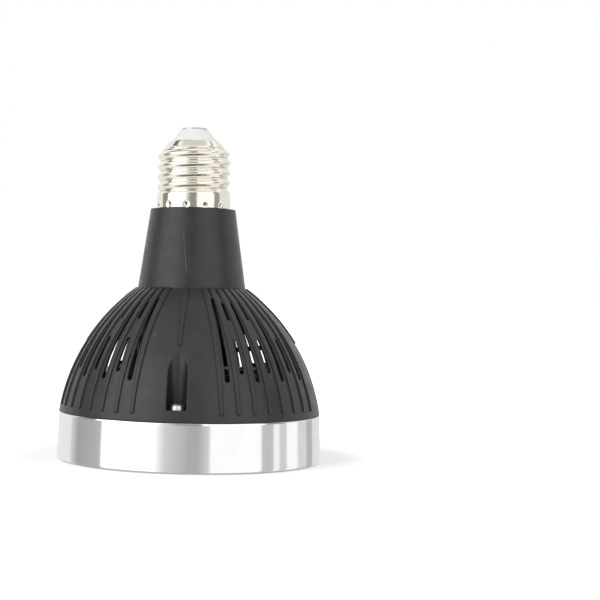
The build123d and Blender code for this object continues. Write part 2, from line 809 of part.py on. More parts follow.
def neutral_wire():
    """Lead from the driver board to the inside of the shell."""
    x, y, foot = cap_wire_start(-1)
    wall = thread_bore_r - COMPONENT_GAP - WIRE_DIAMETER / 2
    points = [
        (x, y, foot),
        (x, y, spigot_top - NEUTRAL_WIRE_TURN),
        (-wall, 0, spigot_top + NEUTRAL_WIRE_END),
    ]
    return lead(WIRE_DIAMETER, points, NEUTRAL_WIRE_BEND)


def holder_screw():
    """Screw through the holder's post and the board into the web."""
    head_r = SCREW_HEAD_DIAMETER / 2
    shank_r = SCREW_DIAMETER / 2
    tip = web_foot + SCREW_BITE
    foot = FACE_RECESS - SCREW_HEAD_HEIGHT / 2
    return turned_through(
        (0, foot),
        (head_r, foot),
        (head_r, FACE_RECESS),
        (shank_r, FACE_RECESS),
        (shank_r, tip),
        (0, tip),
    )


PARTS = {
    "housing": housing,
    "front_ring": front_ring,
    "housing_screws": housing_screws,
    "heat_sink": heat_sink,
    "fan_frame": fan_frame,
    "fan_bearing": fan_bearing,
    "fan_stator": fan_stator,
    "fan_rotor": fan_rotor,
    "fan_shaft": fan_shaft,
    "fan_screws": fan_screws,
    "led_board": led_board,
    "lens_holder": lens_holder,
    "holder_screw": holder_screw,
    "driver_cup": driver_cup,
    "driver_board": driver_board,
    "transformer": transformer,
    "input_capacitor": input_capacitor,
    "output_capacitor": output_capacitor,
    "line_choke": line_choke,
    "rectifier": rectifier,
    "fuse_resistor": fuse_resistor,
    "screw_shell": screw_shell,
    "base_insulator": base_insulator,
    "centre_contact": centre_contact,
    "live_wire": live_wire,
    "neutral_wire": neutral_wire,
    "led_wire_red": led_wire_red,
    "led_wire_black": led_wire_black,
    "fan_lead": fan_lead,
}

os.makedirs("parts", exist_ok=True)
for name, make in PARTS.items():
    export_step(make(), f"parts/{name}.step")
for number, place in enumerate(square_places(lens_place), start=1):
    export_step(place * lens(), f"parts/lens_{number}.step")
    export_step(place * led(), f"parts/led_{number}.step")
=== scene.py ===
"""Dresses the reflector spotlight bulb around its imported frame, lights it and sets the camera."""

import logging
import math
from dataclasses import dataclass, field
from enum import Enum
from typing import Callable, Optional, Sequence

import bmesh
import bpy
from mathutils import Matrix, Vector


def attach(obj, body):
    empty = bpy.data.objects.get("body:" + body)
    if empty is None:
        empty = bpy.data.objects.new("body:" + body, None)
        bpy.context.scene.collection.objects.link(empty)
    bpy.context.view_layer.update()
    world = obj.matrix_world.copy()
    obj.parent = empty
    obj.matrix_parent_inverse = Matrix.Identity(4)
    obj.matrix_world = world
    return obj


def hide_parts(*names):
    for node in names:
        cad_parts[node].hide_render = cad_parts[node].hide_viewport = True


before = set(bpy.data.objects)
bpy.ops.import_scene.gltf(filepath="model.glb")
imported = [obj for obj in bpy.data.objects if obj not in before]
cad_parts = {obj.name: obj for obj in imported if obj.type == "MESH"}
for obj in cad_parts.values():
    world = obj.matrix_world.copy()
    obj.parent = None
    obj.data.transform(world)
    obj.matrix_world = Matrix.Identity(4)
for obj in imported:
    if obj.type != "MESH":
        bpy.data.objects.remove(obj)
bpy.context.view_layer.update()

MM = 0.001
NEAR_MM = 0.001
MERGE_MM = 1e-4
ANGLE_SLACK = 1e-4
FULL_TURN = 2.0 * math.pi
QUARTER_TURN = math.pi / 2
SHARP_ANGLE = math.radians(32.0)
BEVEL_ANGLE = math.radians(25.0)
ROUND_PROFILE = 0.5
KEEP_MATERIAL = -1
INWARDS = -1.0
ORIGIN = (0.0, 0.0, 0.0)
UP = (0.0, 0.0, 1.0)
WHITE = (1.0, 1.0, 1.0, 1.0)

Colour = tuple[float, float, float]
Point2 = tuple[float, float]
Edges = list[bmesh.types.BMEdge]
Socket = bpy.types.NodeSocket

log = logging.getLogger("bulb")


class Body(Enum):
    """Bodies of the frame that pieces ride on."""

    BULB = "bulb"


class Slot(Enum):
    """Material slots of the record, named with the new pieces."""

    RING = "ring_aluminium"
    NICKEL = "cap_nickel"
    INSULATOR = "cap_insulator"
    SCREW = "screw_steel"


class Curve(Enum):
    """Ways in which a mapped pattern runs from its first value to its last."""

    SMOOTH = "SMOOTHSTEP"
    STRAIGHT = "LINEAR"


def smoothstep(low: float, high: float, value: float) -> float:
    """Eases from 0 to 1 between two values.

    Args:
        low: Value at which the result leaves 0.
        high: Value at which the result reaches 1.
        value: Value to look up.

    Returns:
        Share from 0 to 1.
    """
    share = min(1.0, max(0.0, (value - low) / (high - low)))
    return share * share * (3.0 - 2.0 * share)


def add_object(name: str, data: bpy.types.ID) -> bpy.types.Object:
    """Puts a new object into the scene.

    Args:
        name: Name of the object.
        data: Its mesh, lamp or camera.

    Returns:
        The new object.
    """
    thing = bpy.data.objects.new(name, data)
    bpy.context.scene.collection.objects.link(thing)
    return thing


class NodeWriter:
    """Writes nodes and links into one node tree."""

    def __init__(self, tree: bpy.types.NodeTree) -> None:
        """Takes the tree.

        Args:
            tree: Node tree of a material or of the world.
        """
        self.nodes = tree.nodes
        self.links = tree.links

    def math(self, operation: str, *values: object) -> Socket:
        """Adds one step of arithmetic.

        Args:
            operation: Name of the operation.
            values: Sockets or plain numbers that it takes.

        Returns:
            Socket with the result.
        """
        node = self.nodes.new("ShaderNodeMath")
        node.operation = operation
        for socket, value in zip(node.inputs, values):
            if isinstance(value, Socket):
                self.links.new(value, socket)
            else:
                socket.default_value = value
        return node.outputs["Value"]

    def ease(self, source: Socket, low: float, high: float, first: float = 0.0, last: float = 1.0,
             curve: Curve = Curve.SMOOTH) -> Socket:
        """Goes from one value to another while a pattern rises.

        Args:
            source: Pattern to look up.
            low: Pattern value at which the result leaves the first value.
            high: Pattern value at which the result reaches the last value.
            first: Result below the low value.
            last: Result above the high value.
            curve: Way from the first to the last value.

        Returns:
            Socket with the result.
        """
        node = self.nodes.new("ShaderNodeMapRange")
        node.interpolation_type = curve.value
        limits = {"From Min": low, "From Max": high, "To Min": first, "To Max": last}
        for name, value in limits.items():
            node.inputs[name].default_value = value
        self.links.new(source, node.inputs["Value"])
        return node.outputs["Result"]


class NodeGraph(NodeWriter):
    """Writes the nodes of one material, with every pattern on Object coordinates."""

    pattern_low: float = 0.3
    pattern_high: float = 0.7
    edge_samples: int = 6
    groove_samples: int = 8

    def __init__(self, name: str) -> None:
        """Starts a material with one principled shader.

        Args:
            name: Name of the material.
        """
        self.material = bpy.data.materials.new(name)
        self.material.use_nodes = True
        super().__init__(self.material.node_tree)
        self.nodes.clear()
        output = self.nodes.new("ShaderNodeOutputMaterial")
        self.shader = self.nodes.new("ShaderNodeBsdfPrincipled")
        self.links.new(self.shader.outputs["BSDF"], output.inputs["Surface"])
        self.place = self.nodes.new("ShaderNodeTexCoord").outputs["Object"]
        self.edges: Optional[Socket] = None

    def set(self, values: dict[str, object]) -> None:
        """Sets plain values on the shader's own sockets.

        Args:
            values: Value for each socket's name.
        """
        for socket, value in values.items():
            self.shader.inputs[socket].default_value = value

    def feed(self, source: Socket, socket: str) -> None:
        """Links a pattern to a socket of the shader.

        Args:
            source: Pattern to link.
            socket: Name of the shader's socket.
        """
        self.links.new(source, self.shader.inputs[socket])

    def axes(self) -> bpy.types.NodeOutputs:
        """Splits the place on the object.

        Returns:
            The sockets X, Y and Z.
        """
        node = self.nodes.new("ShaderNodeSeparateXYZ")
        self.links.new(self.place, node.inputs["Vector"])
        return node.outputs

    def radius(self, axes: bpy.types.NodeOutputs) -> Socket:
        """Measures the distance from the Z axis.

        Args:
            axes: The place's sockets X, Y and Z.

        Returns:
            Socket with the distance in metres.
        """
        squares = [self.math("MULTIPLY", axes[name], axes[name]) for name in ("X", "Y")]
        return self.math("SQRT", self.math("ADD", *squares))

    def noise(self, grain_mm: float, detail: float = 3.0) -> Socket:
        """Adds a noise pattern.

        Args:
            grain_mm: Size of the pattern's grains.
            detail: Number of finer layers.

        Returns:
            Socket with values round 0.5.
        """
        node = self.nodes.new("ShaderNodeTexNoise")
        node.inputs["Scale"].default_value = 1.0 / (grain_mm * MM)
        node.inputs["Detail"].default_value = detail
        self.links.new(self.place, node.inputs["Vector"])
        return node.outputs["Fac"]

    def lathe_lines(self, pitch_mm: float) -> Socket:
        """Adds fine lines that run round the Z axis, as a lathe tool leaves them.

        Args:
            pitch_mm: Mean distance of the lines.

        Returns:
            Socket with values round 0.5.
        """
        axes = self.axes()
        lines = self.nodes.new("ShaderNodeTexNoise")
        lines.noise_dimensions = "1D"
        lines.inputs["Scale"].default_value = 1.0 / (pitch_mm * MM)
        self.links.new(self.math("ADD", axes["Z"], self.radius(axes)), lines.inputs["W"])
        return lines.outputs["Fac"]

    def span(self, source: Socket, low: float, high: float) -> Socket:
        """Maps a noise pattern to a range of values.

        Args:
            source: Pattern with values round 0.5.
            low: Value for the pattern's dark parts.
            high: Value for the pattern's light parts.

        Returns:
            Socket with the mapped values.
        """
        return self.ease(source, self.pattern_low, self.pattern_high, low, high, Curve.STRAIGHT)

    def tones(self, source: Socket, dark: Colour, light: Colour) -> Socket:
        """Maps a noise pattern to colours between two tones.

        Args:
            source: Pattern with values round 0.5.
            dark: Colour of the pattern's dark parts.
            light: Colour of the pattern's light parts.

        Returns:
            Colour socket.
        """
        ramp = self.nodes.new("ShaderNodeValToRGB")
        first, last = ramp.color_ramp.elements
        first.position, last.position = self.pattern_low, self.pattern_high
        first.color = (*dark, 1.0)
        last.color = (*light, 1.0)
        self.links.new(source, ramp.inputs["Fac"])
        return ramp.outputs["Color"]

    def overlay(self, mask: Socket, colour: Colour) -> None:
        """Lays a colour over the base colour.

        Args:
            mask: Pattern that is 1 where the colour covers all and 0 where it covers nothing.
            colour: Colour to lay on.
        """
        mix = self.nodes.new("ShaderNodeMix")
        mix.data_type = "RGBA"
        self.links.new(mask, mix.inputs["Factor"])
        self.links.new(self.shader.inputs["Base Color"].links[0].from_socket, mix.inputs["A"])
        mix.inputs["B"].default_value = (*colour, 1.0)
        self.feed(mix.outputs["Result"], "Base Color")

    def soften_edges(self, radius_mm: float) -> None:
        """Lets light run round sharp edges as if they had a small rounding.

        Args:
            radius_mm: Radius of the rounding.
        """
        node = self.nodes.new("ShaderNodeBevel")
        node.samples = self.edge_samples
        node.inputs["Radius"].default_value = radius_mm * MM
        self.edges = node.outputs["Normal"]

    def openness(self, reach_mm: float) -> Socket:
        """Finds grooves: 1 where a surface lies open and less where walls stand near it.

        Args:
            reach_mm: Distance within which walls count.

        Returns:
            Socket with values from 0 to 1.
        """
        node = self.nodes.new("ShaderNodeAmbientOcclusion")
        node.only_local = True
        node.samples = self.groove_samples
        node.inputs["Distance"].default_value = reach_mm * MM
        return node.outputs["AO"]

    def bump(self, height: Socket, depth_mm: float) -> None:
        """Raises the surface by a pattern.

        Args:
            height: Pattern with values from 0 to 1.
            depth_mm: Height of a value of 1.
        """
        node = self.nodes.new("ShaderNodeBump")
        node.inputs["Distance"].default_value = depth_mm * MM
        self.links.new(height, node.inputs["Height"])
        if self.edges is not None:
            self.links.new(self.edges, node.inputs["Normal"])
        self.feed(node.outputs["Normal"], "Normal")


@dataclass(frozen=True)
class Finish:
    """A surface finish: its name, colour and gloss, and how far tone and gloss wander."""

    name: str
    colour: Colour
    roughness: float
    mottle: float = 0.1
    mottle_mm: float = 5.0
    gloss_spread: float = 0.0
    gloss_mm: float = 3.0

    def tone(self, share: float) -> Colour:
        """Gives the colour made lighter or darker.

        Args:
            share: Share by which it gets lighter, or darker below 0.

        Returns:
            The new colour.
        """
        return tuple(min(1.0, channel * (1.0 + share)) for channel in self.colour)

    def material(self) -> bpy.types.Material:
        """Gives the finish's material, made at its first use.

        Returns:
            The material.
        """
        label = f"{self.name}_look"
        made = bpy.data.materials.get(label)
        if made is not None:
            return made
        graph = NodeGraph(label)
        patches = graph.noise(self.mottle_mm)
        graph.feed(graph.tones(patches, self.tone(-self.mottle), self.tone(self.mottle)), "Base Color")
        self.paint(graph)
        return graph.material

    def wander_gloss(self, graph: NodeGraph, pattern: Socket) -> None:
        """Lets the gloss change from place to place.

        Args:
            graph: Material in the making.
            pattern: Pattern that the gloss follows.
        """
        low, high = self.roughness - self.gloss_spread, self.roughness + self.gloss_spread
        graph.feed(graph.span(pattern, low, high), "Roughness")

    def paint(self, graph: NodeGraph) -> None:
        """Adds a wandering gloss. Special finishes add more.

        Args:
            graph: Material in the making.
        """
        self.wander_gloss(graph, graph.noise(self.gloss_mm))


@dataclass(frozen=True)
class MouldedPlastic(Finish):
    """Matt moulded plastic with the fine grain of an eroded mould."""

    gloss_spread: float = 0.07
    grain_mm: float = 0.3
    grain_detail: float = 2.0
    grain_depth_mm: float = 0.012

    def paint(self, graph: NodeGraph) -> None:
        """Adds the grain and a wandering gloss.

        Args:
            graph: Material in the making.
        """
        super().paint(graph)
        graph.bump(graph.noise(self.grain_mm, self.grain_detail), self.grain_depth_mm)


@dataclass(frozen=True)
class RimHighlightPlastic(MouldedPlastic):
    """Moulded plastic with a pale metal band painted round a bore on the Z axis, as a painted highlight on
    its rim.
    """

    rim_radius_mm: float = 30.2
    rim_foot_mm: float = 30.8
    rim_blend_mm: float = 0.1
    rim_highlight_tone: Colour = (0.85, 0.85, 0.85)

    def paint(self, graph: NodeGraph) -> None:
        """Adds the grain and the painted highlight on the rim.

        Args:
            graph: Material in the making.
        """
        super().paint(graph)
        axes = graph.axes()
        # Painted highlight: a pale metallic band on the bore's rim stands in for the bright glint of light
        # seen on it through the slots.
        edge, foot, blend = self.rim_radius_mm * MM, self.rim_foot_mm * MM, self.rim_blend_mm * MM
        inside = graph.ease(graph.radius(axes), edge + blend, edge)
        rim = graph.math("MULTIPLY", inside, graph.ease(axes["Z"], foot, foot + blend))
        graph.overlay(rim, self.rim_highlight_tone)
        graph.feed(rim, "Metallic")


@dataclass(frozen=True)
class PartedPlastic(MouldedPlastic):
    """Black moulding with softened edges, a mould's parting line with a painted highlight along it, painted
    shade in its grooves and a few pale scuffs.
    """

    edge_mm: float = 0.7
    groove_mm: float = 1.2
    groove_shut: float = 0.35
    groove_open: float = 0.95
    open_specular: float = 0.5
    parting_angle: float = 0.0
    parting_lean: float = 0.0
    parting_foot_mm: float = 0.0
    parting_top_mm: float = 0.0
    parting_fade_in_mm: float = 4.0
    parting_fade_out_mm: float = 6.0
    parting_width_mm: float = 0.24
    parting_depth_mm: float = 0.12
    parting_highlight_share: float = 0.9
    scuff_mm: float = 2.6
    scuff_detail: float = 6.0
    scuff_from: float = 0.665
    scuff_blend: float = 0.12
    scuff_and_highlight_tone: Colour = (0.075, 0.075, 0.075)

    def paint(self, graph: NodeGraph) -> None:
        """Adds the grain, the line on both sides of the neck with its painted highlight, painted shade in
        the grooves and the scuffs.

        Args:
            graph: Material in the making.
        """
        graph.soften_edges(self.edge_mm)
        self.wander_gloss(graph, graph.noise(self.gloss_mm))
        line = self.parting_line(graph)
        grain = graph.noise(self.grain_mm, self.grain_detail)
        grain = graph.math("MULTIPLY", grain, self.grain_depth_mm / self.parting_depth_mm)
        graph.bump(graph.math("ADD", grain, line), self.parting_depth_mm)
        # Painted shade: reflections are turned down in the grooves between the ribs, where walls stand near.
        shade = graph.ease(graph.openness(self.groove_mm), self.groove_shut, self.groove_open)
        graph.feed(graph.math("MULTIPLY", shade, self.open_specular), "Specular IOR Level")
        marks = graph.noise(self.scuff_mm, self.scuff_detail)
        scuffs = graph.ease(marks, self.scuff_from, self.scuff_from + self.scuff_blend)
        # Painted highlight: the raised parting line is lightened with the scuffs' pale tone, standing in for
        # the light it catches. The scuffs themselves are wear.
        parting_highlight = graph.math("MULTIPLY", line, self.parting_highlight_share)
        graph.overlay(graph.math("MAXIMUM", scuffs, parting_highlight), self.scuff_and_highlight_tone)

    def parting_line(self, graph: NodeGraph) -> Socket:
        """Draws the leaning line that fades out at its foot and top.

        Args:
            graph: Material in the making.

        Returns:
            Socket that is 1 on the line and 0 off it.
        """
        axes = graph.axes()
        angle = math.radians(self.parting_angle)
        across = graph.math("ADD", graph.math("MULTIPLY", axes["X"], -math.sin(angle)),
                            graph.math("MULTIPLY", axes["Y"], math.cos(angle)))
        foot, top = self.parting_foot_mm * MM, self.parting_top_mm * MM
        drop = graph.math("SUBTRACT", top, axes["Z"])
        across = graph.math("SUBTRACT", across, graph.math("MULTIPLY", drop, self.parting_lean))
        line = graph.ease(graph.math("ABSOLUTE", across), self.parting_width_mm * MM, 0.0)
        rise = graph.ease(axes["Z"], foot, foot + self.parting_fade_in_mm * MM)
        fall = graph.ease(axes["Z"], top + self.parting_fade_out_mm * MM, top)
        return graph.math("MULTIPLY", graph.math("MULTIPLY", line, rise), fall)


@dataclass(frozen=True)
class TurnedMetal(Finish):
    """Bare metal off the lathe, polished until only fine lines are left."""

    gloss_spread: float = 0.04
    line_mm: float = 0.16
    line_depth_mm: float = 0.0012

    def paint(self, graph: NodeGraph) -> None:
        """Adds the fine lines round the axis.

        Args:
            graph: Material in the making.
        """
        lines = graph.lathe_lines(self.line_mm)
        graph.set({"Metallic": 1.0})
        self.wander_gloss(graph, lines)
        graph.bump(lines, self.line_depth_mm)


@dataclass(frozen=True)
class PlatedMetal(Finish):
    """Plated sheet metal with faint handling marks."""

    gloss_spread: float = 0.05
    gloss_mm: float = 1.2
    dent_mm: float = 2.2
    dent_detail: float = 1.0
    dent_depth_mm: float = 0.02

    def paint(self, graph: NodeGraph) -> None:
        """Adds the soft unevenness of rolled sheet and a wandering gloss.

        Args:
            graph: Material in the making.
        """
        super().paint(graph)
        graph.set({"Metallic": 1.0})
        graph.bump(graph.noise(self.dent_mm, self.dent_detail), self.dent_depth_mm)


@dataclass(frozen=True)
class ClearMoulding(Finish):
    """Clear moulded plastic for lenses."""

    gloss_mm: float = 1.5
    index: float = 1.49
    haze: float = 2.0

    def paint(self, graph: NodeGraph) -> None:
        """Lets light through and keeps a trace of moulding haze.

        Args:
            graph: Material in the making.
        """
        graph.set({"Transmission Weight": 1.0, "IOR": self.index})
        pattern = graph.noise(self.gloss_mm)
        graph.feed(graph.span(pattern, self.roughness, self.roughness * self.haze), "Roughness")


class Look:
    """Finishes of the bulb's pieces."""

    HOUSING = PartedPlastic("housing_black", (0.023, 0.023, 0.0233), 0.38, mottle=0.12, parting_angle=265.3,
                            parting_lean=0.125, parting_foot_mm=66.0, parting_top_mm=78.5)
    RING = TurnedMetal("ring_polish", (0.88, 0.88, 0.885), 0.09, mottle=0.015, gloss_spread=0.03)
    NICKEL = PlatedMetal("cap_nickel", (0.9, 0.855, 0.755), 0.15, mottle=0.03)
    CONTACT = PlatedMetal("contact_tin", (0.62, 0.61, 0.59), 0.45, mottle=0.1, mottle_mm=1.5)
    INSULATOR = MouldedPlastic("cap_insulator", (0.88, 0.89, 0.85), 0.42, mottle=0.02, grain_depth_mm=0.006)
    SCREW = PlatedMetal("screw_zinc", (0.8, 0.81, 0.81), 0.4, mottle=0.08, dent_mm=0.6, dent_depth_mm=0.01)
    SINK = TurnedMetal("sink_metal", (0.72, 0.73, 0.74), 0.32, mottle=0.05, line_mm=0.3)
    FAN = MouldedPlastic("fan_black", (0.03, 0.03, 0.031), 0.4)
    FAN_FRAME = RimHighlightPlastic("fan_frame_black", (0.03, 0.03, 0.031), 0.4)
    BRONZE = PlatedMetal("bearing_bronze", (0.5, 0.36, 0.2), 0.4, mottle=0.15, mottle_mm=0.5)
    CORE = PlatedMetal("fan_core", (0.42, 0.42, 0.44), 0.35)
    MASK_WHITE = MouldedPlastic("board_white", (0.8, 0.8, 0.78), 0.38, mottle=0.03)
    PHOSPHOR = MouldedPlastic("light_phosphor", (0.85, 0.68, 0.12), 0.35, mottle=0.06, mottle_mm=0.5)
    LENS = ClearMoulding("lens_clear", (0.97, 0.98, 0.98), 0.02, mottle=0.01)
    HOLDER = MouldedPlastic("holder_black", (0.035, 0.035, 0.036), 0.45)
    CUP = MouldedPlastic("cup_black", (0.02, 0.02, 0.02), 0.55)
    MASK_GREEN = MouldedPlastic("board_green", (0.03, 0.16, 0.07), 0.35, mottle=0.2, mottle_mm=1.5)
    TAPE = MouldedPlastic("winding_tape", (0.6, 0.45, 0.08), 0.4)
    SLEEVE = MouldedPlastic("capacitor_sleeve", (0.02, 0.025, 0.05), 0.3)
    FERRITE = MouldedPlastic("choke_ferrite", (0.05, 0.05, 0.052), 0.6, mottle=0.2, mottle_mm=0.6)
    EPOXY = MouldedPlastic("component_epoxy", (0.03, 0.03, 0.03), 0.35)
    LEAD_RED = MouldedPlastic("lead_red", (0.1, 0.012, 0.012), 0.5)
    LEAD_BLACK = MouldedPlastic("lead_black", (0.018, 0.018, 0.018), 0.42)
    LEAD_WHITE = MouldedPlastic("lead_white", (0.75, 0.75, 0.73), 0.42)


class Workpiece:
    """One mesh in the making, shaped with mesh operators."""

    def __init__(self) -> None:
        """Starts an empty mesh."""
        self.bm = bmesh.new()

    def everything(self) -> list:
        """Lists the whole mesh.

        Returns:
            Its vertices, edges and faces.
        """
        return [*self.bm.verts, *self.bm.edges, *self.bm.faces]

    def line(self, points: Sequence[Point2]) -> list:
        """Draws an open outline of radius and height in the XZ plane.

        Args:
            points: Corners of the outline.

        Returns:
            The outline's vertices and edges.
        """
        verts = [self.bm.verts.new((radius, 0.0, height)) for radius, height in points]
        return verts + [self.bm.edges.new(pair) for pair in zip(verts, verts[1:])]

    def spin(self, geometry: list, angle: float, steps: int, rise: float = 0.0, **options: bool) -> None:
        """Turns geometry round Z.

        Args:
            geometry: What is turned.
            angle: Angle of the turn in radians.
            steps: Number of steps.
            rise: Height gained at each step.
            options: Further options of the operator.
        """
        bmesh.ops.spin(self.bm, geom=geometry, cent=ORIGIN, axis=UP, dvec=(0.0, 0.0, rise), angle=angle,
                       steps=steps, **options)

    def lathe(self, points: Sequence[Point2], steps: int) -> None:
        """Turns an outline once round Z.

        Args:
            points: Corners of the outline.
            steps: Number of facets round the axis.
        """
        self.spin(self.line(points), FULL_TURN, steps, use_merge=True)
        self.merge()

    def repeat_round(self, count: int) -> None:
        """Repeats the whole mesh evenly round Z.

        Args:
            count: Number of copies, with the first one.
        """
        self.spin(self.everything(), FULL_TURN * (count - 1) / count, count - 1, use_duplicate=True)

    def merge(self) -> None:
        """Joins vertices that lie on each other and turns the faces outwards."""
        bmesh.ops.remove_doubles(self.bm, verts=self.bm.verts, dist=MERGE_MM)
        bmesh.ops.recalc_face_normals(self.bm, faces=self.bm.faces)

    def round_edges(self, test: Callable[[Vector], bool], width_mm: float, segments: int = 3) -> None:
        """Rounds edges at which the surface turns sharply.

        Args:
            test: Says for an edge's middle whether the edge is rounded.
            width_mm: Width of the rounding on each side.
            segments: Facets across the rounding.
        """
        sharp = [edge for edge in self.bm.edges if edge.calc_face_angle(0.0) > BEVEL_ANGLE]
        chosen = [edge for edge in sharp if test((edge.verts[0].co + edge.verts[1].co) / 2)]
        bmesh.ops.bevel(self.bm, geom=chosen, offset=width_mm, offset_type="OFFSET", affect="EDGES",
                        segments=segments, profile=ROUND_PROFILE, material=KEEP_MATERIAL)

    def place(self, matrix: Matrix) -> None:
        """Moves the whole mesh.

        Args:
            matrix: The move in the mesh's own unit.
        """
        bmesh.ops.transform(self.bm, matrix=matrix, verts=self.bm.verts)

    def plain_mesh(self, name: str) -> bpy.types.Mesh:
        """Ends the work as it stands.

        Args:
            name: Name of the mesh.

        Returns:
            The mesh.
        """
        made = bpy.data.meshes.new(name)
        self.bm.to_mesh(made)
        self.bm.free()
        return made

    def mesh(self, name: str) -> bpy.types.Mesh:
        """Ends work that was done in millimetres.

        Args:
            name: Name of the mesh.

        Returns:
            The mesh in metres, shaded smooth between its sharp edges.
        """
        self.place(Matrix.Scale(MM, 4))
        made = self.plain_mesh(name)
        made.polygons.foreach_set("use_smooth", [True] * len(made.polygons))
        made.set_sharp_from_angle(angle=SHARP_ANGLE)
        return made

    def piece(self, name: str, finish: Finish, slot: Slot, replaces: str) -> bpy.types.Object:
        """Makes the finished mesh a piece of the bulb.

        Args:
            name: Name of the piece.
            finish: Its finish.
            slot: Material slot of the record; not used.
            replaces: Node of the frame that it stands for.

        Returns:
            The new object.
        """
        thing = add_object(name, self.mesh(name))
        thing.data.materials.append(finish.material())
        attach(thing, Body.BULB.value)
        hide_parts(replaces)
        log.info("%s: %d faces", name, len(thing.data.polygons))
        return thing


@dataclass
class FrontRing:
    """Polished ring at the foot with the web across it. All sizes are in millimetres."""

    foot_radius: float = 47.5
    rim_radius: float = 47.0
    bore_radius: float = 45.0
    height: float = 17.0
    web_foot: float = 13.0
    web_top: float = 16.0
    foot_round: float = 0.8
    rim_round: float = 0.35
    rim_margin: float = 1.0
    foot_segments: int = 4
    bore_segments: int = 2
    steps: int = 240

    def wall(self, height: float) -> Point2:
        """Finds a point of the outer wall, which narrows evenly towards the rim.

        Args:
            height: Height of the point.

        Returns:
            Its radius and height.
        """
        return self.foot_radius + (self.rim_radius - self.foot_radius) * height / self.height, height

    def build(self) -> None:
        """Turns the ring and rounds its edges."""
        work = Workpiece()
        work.lathe([
            (0.0, self.web_foot), (self.bore_radius, self.web_foot), (self.bore_radius, 0.0),
            (self.foot_radius, 0.0), self.wall(2.0 * self.foot_round),
            self.wall(self.height - self.rim_margin), (self.rim_radius, self.height),
            (self.bore_radius, self.height), (self.bore_radius, self.web_top), (0.0, self.web_top),
        ], self.steps)
        middle = (self.bore_radius + self.rim_radius) / 2
        work.round_edges(lambda at: at.z < NEAR_MM and at.xy.length > middle,
                         self.foot_round, self.foot_segments)
        work.round_edges(lambda at: at.z > self.web_top + NEAR_MM and at.xy.length > middle, self.rim_round)
        work.round_edges(lambda at: at.z < NEAR_MM and at.xy.length < middle,
                         self.rim_round, self.bore_segments)
        work.piece("ring", Look.RING, Slot.RING, "front_ring")


